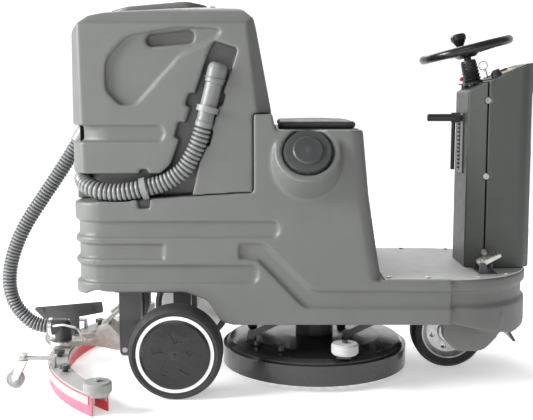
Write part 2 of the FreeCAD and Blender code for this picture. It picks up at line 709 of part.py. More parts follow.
# ---------------------------------------------------------------- foot plate and covers
def foot_plate():
    r = NOSE_R - 4
    plan = plan_prism([(308, -r), (308, r), (NOSE_X, r), (NOSE_X, -r)], FLOOR_Z, FOOT_TOP, [8, 8, 0, 0])
    nose = Part.makeCylinder(r, PLATE_T, V(NOSE_X, 0, FLOOR_Z)).common(box(NOSE_X - 1, 900, -r, r, 300, 340))
    plate = fuse(plan, nose)
    return plate.cut(box(COLUMN_REAR_X + 6, COLUMN_SEAM_X + 100, -70, 70, FLOOR_Z - 1, FOOT_TOP + 1))


def foot_plate_bolts():
    spots = [(322, 246), (430, 250), (578, 238), (664, 196)]
    return [bolt(V(x, s * y, FOOT_TOP), Z_AXIS, 7, 4) for x, y in spots for s in (-1, 1)]


def column_solid(grow=0.0):
    """The console as one block; grow moves its faces out (negative for the inside)."""
    g = grow
    plan = plan_prism(
        [(COLUMN_REAR_X - g, -COLUMN_HALF_REAR - g), (COLUMN_REAR_X - g, COLUMN_HALF_REAR + g),
         (COLUMN_SEAM_X, COLUMN_HALF + g), (735, COLUMN_HALF + g), (COLUMN_FRONT_X + 6 + g, 58 + g),
         (COLUMN_FRONT_X + 6 + g, -58 - g), (735, -COLUMN_HALF - g), (COLUMN_SEAM_X, -COLUMN_HALF - g)],
        200, 1000, [6, 6, 30, 42, 40, 40, 42, 30])
    side = side_prism(
        [(COLUMN_REAR_X - g, FOOT_TOP + min(g, 0)), (COLUMN_REAR_X - g, PANEL_REAR_Z + g),
         (600, PANEL_REAR_Z + 16 + g), (755, PANEL_FRONT_Z + 8 + g), (773 + g, PANEL_FRONT_Z + g),
         (760 + g, 830), (766 + g, FOOT_TOP + min(g, 0))],
        -200, 200, [0, 10, 20, 12, 8, 60, 0])
    return plan.common(side)


COVER_SCREW_Z = (374, 600, 822)


def column_covers():
    """The two console covers and the screws sunk in the joint between them."""
    shell = column_solid().cut(column_solid(-4).fuse(box(580, 750, -80, 80, 300, 340)))
    shell = shell.cut(rod(SHAFT_FOOT, WHEEL_CENTRE, 16))
    shell = shell.cut(panel_block(1.0))
    split = 0.5
    rear = shell.common(box(500, COLUMN_SEAM_X - split, -200, 200, 300, 1000))
    front = shell.common(box(COLUMN_SEAM_X + split, 900, -200, 200, 300, 1000))
    for z in COVER_SCREW_Z:
        for s in (-1, 1):
            seat = rod(V(624, s * (COLUMN_HALF + 6), z), V(624, s * (COLUMN_HALF - 8), z), 9)
            rear, front = rear.cut(seat), front.cut(seat)
    rear = rear.cut(box(560, 574, -5, 5, 600, 782))
    rear = rear.cut(rod(V(588, 50, 836), V(588, 50, 880), 11))
    save("column_rear_cover", rear)
    save("column_front_cover", front)
    screws = []
    for z in COVER_SCREW_Z:
        for s in (-1, 1):
            head = rod(V(624, s * (COLUMN_HALF - 8), z), V(624, s * (COLUMN_HALF - 3), z), 9)
            socket = rod(V(624, s * (COLUMN_HALF - 6), z), V(624, s * COLUMN_HALF, z), 4)
            screws.append(head.cut(socket))
    save("screws", *screws)


AXIS_TILT = V(-math.sin(WHEEL_TILT), 0, math.cos(WHEEL_TILT))
SHAFT_FOOT = WHEEL_CENTRE - AXIS_TILT * 340
PANEL_SLOPE = math.atan2(PANEL_FRONT_Z + 8 - PANEL_REAR_Z - 16, 155)
PANEL_N = V(-math.sin(PANEL_SLOPE), 0, math.cos(PANEL_SLOPE))
PANEL_U = V(math.cos(PANEL_SLOPE), 0, math.sin(PANEL_SLOPE))
PANEL_O = V(600, 0, PANEL_REAR_Z + 16)  # origin of the panel surface


def on_panel(u, y, lift=0.0):
    return PANEL_O + PANEL_U * u + V(0, y, 0) + PANEL_N * lift


def tilt_box(u0, u1, y0, y1, h0, h1):
    """A block standing on the sloping panel."""
    base = [on_panel(u0, y0, h0), on_panel(u1, y0, h0), on_panel(u1, y1, h0), on_panel(u0, y1, h0)]
    return Part.Face(Part.makePolygon(base + base[:1])).extrude(PANEL_N * (h1 - h0))


def panel_block(gap=0.0):
    return tilt_box(44 - gap, 156 + gap, -86 - gap, 86 + gap, -8, 1.5 if gap == 0 else 10)


def control_panel():
    plate = tilt_box(44, 156, -86, 86, -3, 2).cut(tilt_box(90, 136, -30, 46, 0, 5))
    plate = plate.cut(rod(on_panel(66, -50, -10), on_panel(66, -50, 10), 5 + RUN))
    plate = plate.cut(rod(on_panel(66, 62, -10), on_panel(66, 62, 10), 9.5))
    plate = plate.cut(tilt_box(98, 130, 54.8, 75.2, -10, 10))
    lip = tilt_box(44, 156, -86, 86, -4.2, -3)
    lip = lip.cut(tilt_box(60, 140, -80, 80, -6, 0))
    return fuse(plate, lip).cut(rod(on_panel(66, 62, -10), on_panel(66, 62, 10), 9.5))


def speed_knob():
    a = on_panel(66, -50, 2.4)
    dial = revolve([(0, 0), (17, 0), (16, 4), (13, 15), (0, 16)], a, PANEL_N)
    return fuse(rod(a - PANEL_N * 12, a, 5), dial, tilt_box(58, 78, -53, -47, 16, 21))


def key_parts():
    barrel = tube(on_panel(66, 62, -12), on_panel(66, 62, 4), 9.4, 7)
    barrel = fuse(barrel, tube(on_panel(66, 62, 2), on_panel(66, 62, 4), 13, 7))
    plug = rod(on_panel(66, 62, -12), on_panel(66, 62, 4.5), 7 - 0.05)
    blade = tilt_box(64.5, 67.5, 58, 66, 4.5, 14)
    bow = tilt_box(64.5, 67.5, 52, 72, 13, 30)
    ring = Part.makeTorus(13, 1.2, on_panel(66, 62, 40), Y_AXIS)
    bow = bow.cut(rod(on_panel(60, 62, 26.5), on_panel(72, 62, 26.5), 3.4))
    save("steel_fittings", barrel)
    save("key", fuse(plug, blade, bow), ring)


def steering():
    c, n = WHEEL_CENTRE, AXIS_TILT
    rim = Part.makeTorus(STEER_R, STEER_TUBE, c, n)
    side = Y_AXIS
    fwd = side.cross(n)
    hub = revolve([(0, -24), (26, -24), (40, -14), (44, -4), (36, 4), (0, 6)], c, n)
    spokes = []
    for a in (90, 210, 330):
        d = fwd * math.sin(math.radians(a)) + side * math.cos(math.radians(a))
        spokes.append(rod(c + d * 24 - n * 8, c + d * (STEER_R - 2) - n * 1, 10))
    knob_at = c + side * (STEER_R - 2) + fwd * 14
    wheel = fuse(rim, hub, *spokes).cut(rod(knob_at - n * 20, knob_at + n * 40, 5 + RUN))
    save("steering_wheel", wheel)
    save("steering_wheel", revolve([(0, 6), (30, 6), (26, 9), (0, 11)], c, n))
    knob = revolve([(0, 14.5), (11, 14.5), (14, 20), (24, 36), (24, 48), (18, 54), (0, 56)], knob_at, n)
    save("wheel_knob", fuse(knob, rod(knob_at - n * 12, knob_at + n * 20, 5)))
    save("steering_wheel", rod(SHAFT_FOOT, c - n * 24, 11))
    foot = c - n * 104
    boot_profile = [(12.5, 0), (30, 0), (30, 6)]
    for k in range(6):
        boot_profile += [(23, 10 + 10 * k), (28 - k, 15 + 10 * k)]
    boot_profile += [(20, 72), (12.5, 72)]
    save("steering_boot", revolve(boot_profile, foot, n))
    save("steel_fittings", tube(SHAFT_FOOT + n * 10, SHAFT_FOOT + n * 22, 24, 11 + RUN))
    block = box(600, 745, -60, 60, SHAFT_FOOT.z - 10, SHAFT_FOOT.z + 24)
    block = block.cut(rod(SHAFT_FOOT - n * 30, SHAFT_FOOT + n * 50, 24)).common(column_solid(-4))
    save("steel_fittings", block)
    save("steel_fittings", *both(box(640, 664, 60, COLUMN_HALF - 4, SHAFT_FOOT.z - 6, SHAFT_FOOT.z + 18)))


def e_stop():
    a = V(588, 50, PANEL_REAR_Z + 19.2)
    bore = 7.5 + RUN
    save("steel_fittings", fuse(tube(a - V(0, 0, 24), a, 10.9, bore), tube(a, a + V(0, 0, 4), 19, bore)))
    button = [(0, -26), (7.5, -26), (7.5, 12), (16, 12), (18, 18), (14, 24), (0, 26)]
    save("e_stop_button", revolve(button, a, Z_AXIS))


def lift_lever():
    """Grip and rod that slide down the rear of the console, and the slotted plate they run in."""
    x = COLUMN_REAR_X
    plate = box(x - 4, x, -38, 38, 605, 785).cut(box(x - 5, x + 1, -5, 5, 612, 780))
    teeth = [box(x - 8, x - 4, 14, 30, z, z + 5) for z in range(616, 776, 12)]
    save("steel_fittings", fuse(plate, *teeth))
    grip = rod(V(462, -18, 771), V(x - 22, -18, 771), 11)
    grip = round_edges(grip, 4, lambda e: e.BoundBox.XMax < 463)
    stem = rod(V(541, -18, 615), V(541, -18, 771), 6)
    foot = box(x - 34, x - 9, -27, -9, 756, 786)
    slide = fuse(box(x - 12, x - 4.3, -20, 4.6, 760, 778), box(x - 12, x + 9, -4.6, 4.6, 762, 774))
    save("lift_lever", grip.cut(foot).cut(stem))
    save("lift_lever", fuse(stem, foot, slide))


def pedal():
    hinge = V(600, 0, 352)
    arm = side_prism([(594, 346), (598, 360), (650, 384), (654, 376), (606, 350)], -190, -128, 3)
    pads = [across(604 + 8 * k, 363 + 3.7 * k, -186, -132, 2.2) for k in range(6)]
    barrel = across(hinge.x, hinge.z, -180, -138, 8)
    save("pedal", fuse(arm, barrel, *pads).cut(across(hinge.x, hinge.z, -230, -100, 4 + RUN)))
    base = box(588, 640, -196, -122, FOOT_TOP, FOOT_TOP + 3)
    cheeks = [
        side_prism([(588, FOOT_TOP), (592, 358), (608, 358), (616, FOOT_TOP)], y0, y1, [0, 6, 6, 0])
        for y0, y1 in ((-196, -190.6), (-127.4, -122))
    ]
    save("steel_fittings", fuse(base, *cheeks).cut(across(hinge.x, hinge.z, -230, -100, 4)))
    save("steel_fittings", across(hinge.x, hinge.z, -196, -122, 4))
    save("steel_fittings", tube(V(630, -160, FOOT_TOP + 3), V(630, -160, FOOT_TOP + 26), 7, 5))


# ---------------------------------------------------------------- seat, batteries, filler
SEAT_HINGE_Y, SEAT_HINGE_Z = 245.0, 750.0


def seat():
    """Pan that drops into the rebate, its two hinges on the left, and the cushion."""
    pan = plan_prism([(6, -233), (6, 233), (233, 233), (233, -233)], SEAT_DECK_Z - 7.6, SEAT_DECK_Z + 2, 9)
    y, z = SEAT_HINGE_Y, SEAT_HINGE_Z
    knuckles = [rod(V(x, y, z), V(x + 30, y, z), 5) for x in (40, 170)]
    leaves = [box(x, x + 30, 225, y, SEAT_DECK_Z + 0.5, SEAT_DECK_Z + 3.5) for x in (40, 170)]
    pan = fuse(pan, *knuckles, *leaves).cut(rod(V(0, y, z), V(240, y, z), 2.5 + RUN))
    save("seat_pan", pan)
    ears = [box(x, x + 5.4, y - 6, y + 6, SEAT_DECK_Z, z + 5) for x in (34, 70.6, 164, 200.6)]
    pins = [rod(V(x, y, z), V(x + 42, y, z), 2.5) for x in (34, 164)]
    save("steel_fittings", *[e.cut(pins[0]).cut(pins[1]) for e in ears])
    save("steel_fittings", *pins)
    top, base = SEAT_DECK_Z + 26, SEAT_DECK_Z + 2
    cushion = plan_prism([(10, -228), (10, 212), (228, 212), (228, -228)], base + 2, top, 26)
    cushion = fuse(cushion, plan_prism([(18, -218), (18, 200), (220, 200), (220, -218)], base, base + 4, 20))
    save("seat_cushion", round_edges(cushion, 9, lambda e: abs(e.BoundBox.ZMin - top) < 0.01))


def batteries():
    x0, x1, half, floor = BAY
    w, d = (x1 - x0) / 2, half
    cells, posts, lids = [], [], []
    for i in (0, 1):
        for j in (0, 1):
            bx, by = x0 + i * w, -half + j * d
            cells.append(box(bx + 4, bx + w - 4, by + 5, by + d - 5, floor + 6, floor + 262))
            lids.append(box(bx + 10, bx + w - 10, by + 12, by + d - 12, floor + 262, floor + 274))
            for y in (by + 35, by + d - 35):
                posts.append(rod(V(bx + w / 2, y, floor + 274), V(bx + w / 2, y, floor + 288), 7))
    tray = [(x0 + 1, -half + 1), (x0 + 1, half - 1), (x1 - 1, half - 1), (x1 - 1, -half + 1)]
    save("batteries", plan_prism(tray, floor, floor + 6, 11))
    save("batteries", *[fuse(c, k) for c, k in zip(cells, lids)])
    save("batteries", *posts)


def filler():
    a = FILL + FILL_AXIS * 24
    save("plastic_fittings", tube(a - FILL_AXIS * 50, a + FILL_AXIS * 12, NECK_R, NECK_R - 4))
    cap = revolve([(0, 13), (46, 13), (46, 1), (66, 1), (67, 12), (62, 24), (0, 26)], a, FILL_AXIS)
    grip = revolve([(0, 26), (42, 26), (38, 30), (0, 31)], a, FILL_AXIS)
    ribs = []
    side = X_AXIS
    up = FILL_AXIS.cross(side)
    for k in range(16):
        t = math.radians(22.5 * k)
        p = a + side * (65.5 * math.cos(t)) + up * (65.5 * math.sin(t))
        ribs.append(rod(p + FILL_AXIS * 3, p + FILL_AXIS * 14, 2.4))
    save("filler_cap", fuse(cap, grip, *ribs))


# ---------------------------------------------------------------- brush deck
ARM_DROP = 53.0
ARM_RUN = math.sqrt(ARM_L**2 - ARM_DROP**2)
EAR_Z = ARM_Z - ARM_DROP


def deck_arm(x_pivot, node, gap):
    """Parallel arm on both sides; gap is the running clearance at the deck end."""
    a, b = V(x_pivot, 0, ARM_Z), V(x_pivot - ARM_RUN, 0, EAR_Z)
    u = (b - a).normalize()
    n = V(-u.z, 0, u.x) * 9
    arms = []
    for s in (-1, 1):
        y0 = s * ARM_Y - 4
        wire = Part.makePolygon([p + V(0, y0, 0) for p in (a + n, b + n, b - n, a - n, a + n)])
        plate = Part.Face(wire).extrude(V(0, 8, 0))
        arms.append(fuse(plate, across(a.x, a.z, y0, y0 + 8, 13), across(b.x, b.z, y0, y0 + 8, 13)))
    tube_y = across(a.x, a.z, -ARM_Y + 4, ARM_Y - 4, 10)
    arm = fuse(*arms, tube_y).cut(across(a.x, a.z, -150, 150, 7 + RUN))
    save(node, arm.cut(across(b.x, b.z, -150, 150, 6 + gap)))


def deck():
    x = DECK.x
    shell = revolve(
        [(0, 96), (0, DECK_TOP), (90, DECK_TOP), (200, 103), (262, 94), (DECK_R, 84), (DECK_R, DECK_RIM_Z),
         (DECK_R - 4, DECK_RIM_Z), (DECK_R - 4, 82), (258, 89), (200, 96)], V(x, 0, 0), Z_AXIS)
    shell = shell.cut(rod(V(x, 0, 80), V(x, 0, 120), 20))
    ears = []
    for px in (ARM_FRONT_X, ARM_REAR_X):
        ex = px - ARM_RUN
        for s in (-1, 1):
            y0 = 95.6 if s > 0 else -101.6
            ears.append(side_prism(
                [(ex - 16, 98), (ex - 11, EAR_Z + 12), (ex + 11, EAR_Z + 12), (ex + 16, 98)],
                y0, y0 + 6, [0, 9, 9, 0],
            ))
    roller_arm = fuse(box(176, 216, -262, -200, 94, 112), box(184, 210, -290, -240, 108, 114))
    shell = fuse(shell, *ears, roller_arm)
    pins = []
    for px in (ARM_FRONT_X, ARM_REAR_X):
        shell = shell.cut(across(px - ARM_RUN, EAR_Z, -102, 102, 6))
        pins += both(across(px - ARM_RUN, EAR_Z, 95.6, 111, 6))
    shell = shell.cut(rod(V(197, -282, 90), V(197, -282, 120), 5))
    save("deck_shell", shell)
    save("brush_motor", *pins)
    save("deck_skirt", tube(V(x, 0, SKIRT_BOTTOM), V(x, 0, DECK_RIM_Z + 18), 283, DECK_R))
    pin = rod(V(197, -282, 102), V(197, -282, 150), 5)
    save("brush_motor", fuse(pin, bolt(V(197, -282, 149), Z_AXIS, 9, 5)))
    roller = [(5 + RUN, 116), (34, 116), (38, 121), (38, 142), (34, 147), (5 + RUN, 147)]
    save("deck_roller", revolve(roller, V(197, -282, 0), Z_AXIS))
    casing = [rod(V(x, 0, DECK_TOP), V(x, 0, 182), 58), rod(V(x, 0, 182), V(x, 0, 190), 46)]
    save("brush_motor", fuse(*casing, box(x - 16, x + 16, -68, -50, 112, 150)))
    save("brush_motor", tube(V(x, 0, 92), V(x, 0, DECK_TOP), 20, 10 + RUN))
    shaft = rod(V(x, 0, 78), V(x, 0, DECK_TOP - 0.5), 10)
    save("brush_disc", fuse(rod(V(x, 0, 62), V(x, 0, 78), 250), shaft))
    tufts = []
    for ring, count in ((238, 44), (200, 36), (160, 28), (118, 20)):
        for k in range(count):
            t = 2 * math.pi * k / count
            p = V(x + ring * math.cos(t), ring * math.sin(t), BRUSH_BOTTOM)
            tufts.append(rod(p, V(p.x, p.y, 62), 11))
    save("brush_bristles", *tufts)
    for a in (math.radians(-118), math.radians(-142), math.radians(118)):
        save("brush_motor", bolt(V(x + 226 * math.cos(a), 226 * math.sin(a), 100.8), Z_AXIS, 9, 12))


# ---------------------------------------------------------------- squeegee
def sector(r0, r1, z0, z1, half_angle=SQ_HALF_ANGLE):
    """A piece of ring round the squeegee centre, open to the front."""
    start = V(math.cos(math.radians(180 - half_angle)), math.sin(math.radians(180 - half_angle)), 0)
    section = Part.makePolygon([
        V(SQ_X, 0, 0) + start * r + V(0, 0, z) for r, z in ((r0, z0), (r1, z0), (r1, z1), (r0, z1), (r0, z0))
    ])
    return Part.Face(section).revolve(V(SQ_X, 0, 0), Z_AXIS, 2 * half_angle)


def squeegee_head():
    bar = fuse(sector(SQ_R - SQ_W, SQ_R - 4, SQ_TOP - 6, SQ_TOP),
               sector(SQ_R - SQ_W + 4, SQ_R - SQ_W + 10, SQ_BAND, SQ_TOP - 5),
               sector(SQ_R - 14, SQ_R - 8, SQ_BAND, SQ_TOP - 5))
    caster_arms = []
    for s in (-1, 1):
        y = s * CASTER_Y
        caster_arms.append(fuse(
            box(STEM_X, -632, y - 12, y + 12, 84, 90), rod(V(STEM_X, y, 84), V(STEM_X, y, 90), 16),
            box(-638, -630, y - 12, y + 12, SQ_TOP - 3, 90),
        ))
    ends = [rod(V(-461, s * ROLLER_Y, SQ_TOP - 6), V(-461, s * ROLLER_Y, SQ_TOP), 26) for s in (-1, 1)]
    guard = fuse(
        side_prism([(X_REAR - 7, 146), (-564, 166), (-560, 130), (-744, 96)], 150, 156, [6, 6, 6, 6]),
        box(-672, -640, 150, 156, SQ_TOP - 3, 120), box(-672, -640, 130, 156, SQ_TOP - 3, SQ_TOP + 3),
    )
    bar = fuse(bar, *caster_arms, *ends)
    bar = bar.cut(rod(PORT + V(0, 0, SQ_TOP - 6.5), PORT + V(0, 0, 90), 25))
    for s in (-1, 1):
        bar = bar.cut(rod(V(STEM_X, s * CASTER_Y, 70), V(STEM_X, s * CASTER_Y, 100), 7 + RUN))
        bar = bar.cut(rod(V(ROLLER_X, s * ROLLER_Y, 40), V(ROLLER_X, s * ROLLER_Y, 80), 5))
    save("squeegee_bar", bar)
    save("squeegee_trim", guard.cut(bar))
    save("squeegee_trim", *[bolt(p, V(0, -1, 0), 7, 5) for p in (V(-761, 150, 138), V(-600, 150, 146))])
    save("squeegee_bar", tube(PORT + V(0, 0, SQ_TOP - 6), PORT + V(0, 0, SQ_TOP + 6), 25, 20))
    save("front_blade", sector(SQ_R - SQ_W - 0.5, SQ_R - SQ_W + 4, 2, SQ_TOP - 6.5))
    save("rear_blade", sector(SQ_R - 8, SQ_R - 3.5, 0, SQ_TOP - 6.5))
    save("squeegee_bar", sector(SQ_R - 3.5, SQ_R, 30, SQ_TOP - 8, SQ_HALF_ANGLE - 1))
    save("squeegee_bar", sector(SQ_R - SQ_W - 3, SQ_R - SQ_W - 0.5, 34, SQ_TOP - 8, SQ_HALF_ANGLE - 1))
    for t in (-26, -11, 11, 26):
        save("squeegee_trim", star_knob(math.radians(180 + t)))
    for s, name in ((-1, "right"), (1, "left")):
        y = s * ROLLER_Y
        pin = rod(V(ROLLER_X, y, SQ_TOP - 6), V(ROLLER_X, y, 96), 5)
        save("squeegee_bar", fuse(pin, bolt(V(ROLLER_X, y, 95), Z_AXIS, 9, 5)))
        roller = [(5 + RUN, 62), (34, 62), (37.5, 66), (37.5, 88), (34, 92), (5 + RUN, 92)]
        save(f"squeegee_roller_{name}", revolve(roller, V(ROLLER_X, y, 0), Z_AXIS))
        caster(name, s * CASTER_Y)


def star_knob(angle):
    """Four-lobed knob that clamps the squeegee bar."""
    p = V(SQ_X + 606 * math.cos(angle), 606 * math.sin(angle), SQ_TOP)
    lobes = []
    for k in range(4):
        q = p + V(9 * math.cos(math.pi / 2 * k), 9 * math.sin(math.pi / 2 * k), 0)
        lobes.append(rod(q + V(0, 0, 8), q + V(0, 0, 20), 7))
    return fuse(rod(p, p + V(0, 0, 20), 9), *lobes)


def caster(name, y):
    """Fork with its stem, axle and wheel."""
    cheeks = [
        side_prism([(-735, 82), (-756, 26), (-738, 24), (-708, 82)], y0, y0 + 3, [0, 9, 9, 0])
        for y0 in (y - 17, y + 14)
    ]
    top = box(-735, -708, y - 17, y + 17, 79, 83)
    stem = rod(V(STEM_X, y, 80), V(STEM_X, y, 96), 7)
    head = bolt(V(STEM_X, y, 95.5), Z_AXIS, 11, 6)
    fork = fuse(*cheeks, top, stem, head).cut(across(CASTER_X, CASTER_R, y - 30, y + 30, 4))
    save(f"caster_fork_{name}", fork, across(CASTER_X, CASTER_R, y - 19, y + 19, 4))
    profile = [
        (4 + RUN, -12), (14, -12), (18, -10), (CASTER_R - 4, -11), (CASTER_R, -7), (CASTER_R, 7),
        (CASTER_R - 4, 11), (18, 10), (14, 12), (4 + RUN, 12),
    ]
    save(f"caster_wheel_{name}", revolve(profile, V(CASTER_X, y, CASTER_R), Y_AXIS))


def squeegee_arm():
    a, k = ARM_PIVOT, ARM_KNUCKLE
    plates = both(side_prism(
        [(a.x + 12, a.z - 14), (a.x + 12, a.z + 14), (k.x + 16, k.z + 16), (k.x - 18, k.z + 12),
         (-556, 92), (-632, 84), (-632, 74), (-560, 72), (k.x + 4, 66)],
        38, 44, [12, 12, 12, 12, 10, 0, 0, 10, 20],
    ))
    ties = [across(-500, 84, -40, 40, 7), across(k.x, k.z, -40, 40, 8)]
    yoke = box(-640, -598, -44, 44, 70, 80)
    ring = tube(PORT + V(0, 0, 70), PORT + V(0, 0, 80), 40, 26)
    bracket = fuse(yoke, ring).cut(rod(PORT + V(0, 0, 60), PORT + V(0, 0, 90), 26))
    arm = fuse(*plates, *ties, bracket).cut(across(a.x, a.z, -80, 80, 8 + RUN))
    save("squeegee_arm", arm)
    foot, bend, mouth = PORT + V(0, 0, 67.5), PORT + V(0, 0, 122), V(*SUCTION_ROUTE[-1])
    outer = fuse(rod(foot, bend, 26), Part.makeSphere(26, bend), rod(bend, mouth, 26))
    inner = fuse(rod(foot - Z_AXIS, bend, 20), Part.makeSphere(20, bend), rod(bend, mouth - X_AXIS, 20))
    save("suction_elbow", outer.cut(inner))
    save("squeegee_arm", tube(V(-701, 0, 122), V(-690.5, 0, 122), 27, 23.4))
    loop = [V(-590, -30, 80), V(-600, -58, 130), V(-645, -60, 142), V(-678, -44, 134)]
    ring = Part.Wire(Part.makeCircle(3.5, loop[0], loop[1] - loop[0]))
    handle = outline(loop, [0, 14, 14, 0], closed=False).makePipeShell([ring], True, True, 1)
    save("squeegee_arm", handle.cut(box(-650, -560, -44, 44, 60, 80)))


def lift_springs():
    """Two tension springs between the chassis box and the knuckle of the squeegee arm."""
    return [tube(V(-470, s * 66, 190), V(-521, s * 66, 150), 8, 5) for s in (-1, 1)]


# ---------------------------------------------------------------- hoses
def drain_parts():
    start = V(*DRAIN_ROUTE[-1])
    length = (CUFF_TOP - start).Length
    cuff = [(0, 0), (DRAIN_R, 0), (DRAIN_R, 12), (23.5, 16), (23.5, length), (0, length)]
    save("plastic_fittings", revolve(cuff, start, CUFF_DIR))
    cap = [(0, 0.4), (24, 0.4), (26.5, 3), (27.5, 40), (25, 50), (20, 56), (0, 58)]
    save("drain_cap", revolve(cap, CUFF_TOP, CUFF_DIR))
    save("drain_cap", Part.makeTorus(28.8, 1.6, CUFF_TOP + CUFF_DIR * 14, CUFF_DIR))


def hose_clip(centre, axis):
    """A strap over the hose, screwed to the tank on both sides of it."""
    u = V(axis).normalize()
    strap = tube(centre - u * 8, centre + u * 8, DRAIN_R + 6, DRAIN_R + 3)
    keep = box(centre.x - 90, centre.x + 90, centre.y - 60, centre.y, centre.z - 90, centre.z + 90)
    return strap.common(keep)


def clips():
    return [hose_clip(centre, axis) for centre, axis in CLIPS]


def main():
    save("main_body", main_body())
    save("recovery_tank", recovery_tank())
    save("plastic_fittings", tank_hose_port())
    save("tank_lid", *tank_lid())
    save("plastic_fittings", *tank_hinge_ears())
    save("axles_and_bearings", LID_PIN)
    save("vacuum_motor", vacuum_motor())
    save("tank_lid", float_cage())
    save("chassis_frame", chassis_frame())
    save("axles_and_bearings", fork_bearing())
    save("chassis_frame", front_bracket())
    save("axles_and_bearings", across(REAR_AXLE.x, REAR_AXLE.z, -REAR_OUT + 20, REAR_OUT - 20, STUB_R))
    save("axles_and_bearings", pivot_pin(ARM_PIVOT.x, ARM_PIVOT.z, 60, 8))
    save("axles_and_bearings", *[pivot_pin(x, ARM_Z, 119, 7) for x in (ARM_FRONT_X, ARM_REAR_X)])
    rear_wheel(1)
    rear_wheel(-1)
    front_wheel()
    steering_fork()
    save("foot_plate", foot_plate())
    save("screws", *foot_plate_bolts())
    column_covers()
    save("control_panel", control_panel())
    save("display", tilt_box(91, 135, -29, 45, 0, 1.6))
    save("horn_button", tilt_box(99, 129, 56, 74, -8, 6))
    save("speed_knob", speed_knob())
    key_parts()
    steering()
    e_stop()
    lift_lever()
    pedal()
    seat()
    batteries()
    filler()
    deck_arm(ARM_FRONT_X, "deck_arm_front", RUN)
    deck_arm(ARM_REAR_X, "deck_arm_rear", 0.5)
    deck()
    squeegee_head()
    squeegee_arm()
    save("lift_springs", *lift_springs())
    save("suction_hose", hose("suction_hose", SUCTION_ROUTE, HOSE_R))
    save("drain_hose", hose("drain_hose", DRAIN_ROUTE, DRAIN_R))
    drain_parts()
    save("plastic_fittings", *clips())
    write_parts()


main()
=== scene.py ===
"""Looks of the ride-on floor scrubber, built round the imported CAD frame. Metres, +X forward, +Z up."""
import json
import math

import bmesh
import bpy
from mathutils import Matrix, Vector

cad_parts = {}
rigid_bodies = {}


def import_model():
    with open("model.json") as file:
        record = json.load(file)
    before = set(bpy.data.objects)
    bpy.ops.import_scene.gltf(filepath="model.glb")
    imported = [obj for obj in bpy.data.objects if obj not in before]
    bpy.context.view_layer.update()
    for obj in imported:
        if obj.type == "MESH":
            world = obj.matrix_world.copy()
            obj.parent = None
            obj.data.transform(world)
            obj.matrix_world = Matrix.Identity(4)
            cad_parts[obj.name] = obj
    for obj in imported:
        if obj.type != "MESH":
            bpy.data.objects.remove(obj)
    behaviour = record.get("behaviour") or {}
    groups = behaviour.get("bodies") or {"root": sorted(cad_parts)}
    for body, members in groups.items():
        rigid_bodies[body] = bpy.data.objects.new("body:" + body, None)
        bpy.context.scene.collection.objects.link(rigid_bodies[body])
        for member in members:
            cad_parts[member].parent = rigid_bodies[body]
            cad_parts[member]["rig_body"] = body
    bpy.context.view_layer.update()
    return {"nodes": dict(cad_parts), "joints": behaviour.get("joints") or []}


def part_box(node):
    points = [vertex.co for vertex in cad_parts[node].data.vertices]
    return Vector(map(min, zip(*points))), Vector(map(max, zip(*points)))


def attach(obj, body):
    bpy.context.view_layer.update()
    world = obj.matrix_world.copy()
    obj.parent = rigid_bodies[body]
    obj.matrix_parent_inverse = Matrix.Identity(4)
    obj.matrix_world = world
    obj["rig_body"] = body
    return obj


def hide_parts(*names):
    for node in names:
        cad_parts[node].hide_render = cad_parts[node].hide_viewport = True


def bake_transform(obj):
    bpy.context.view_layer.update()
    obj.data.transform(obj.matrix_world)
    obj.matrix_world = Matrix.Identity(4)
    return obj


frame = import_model()
nodes = frame["nodes"]
joints = {j["name"]: j for j in frame["joints"]}

MM = 0.001
FORK_X = 0.540
# The CAD layout's datum in this frame: part.py centres the machine by this much.
DATUM = joints["fork_turn"]["pos_m"][0] - FORK_X
CHASSIS, ARM = "chassis", "squeegee_arm"


def at(x, y, z):
    """A layout point in millimetres, as in part.py, in this frame."""
    return Vector((x * MM + DATUM, y * MM, z * MM))


# ---------------------------------------------------------------- camera
FRAME_WIDTH, FOCAL_PX, PITCH, SENSOR = 533, 884.5, 6.98, 36.0
EYE = (at(-23, 0, 0).x, -2.699, 0.8185)


def make_camera():
    data = bpy.data.cameras.new("camera")
    data.sensor_width = SENSOR
    data.lens = FOCAL_PX / FRAME_WIDTH * data.sensor_width
    camera = bpy.data.objects.new("camera", data)
    camera.location = EYE
    camera.rotation_euler = (math.radians(90 - PITCH), 0, 0)
    bpy.context.scene.collection.objects.link(camera)
    bpy.context.scene.camera = camera


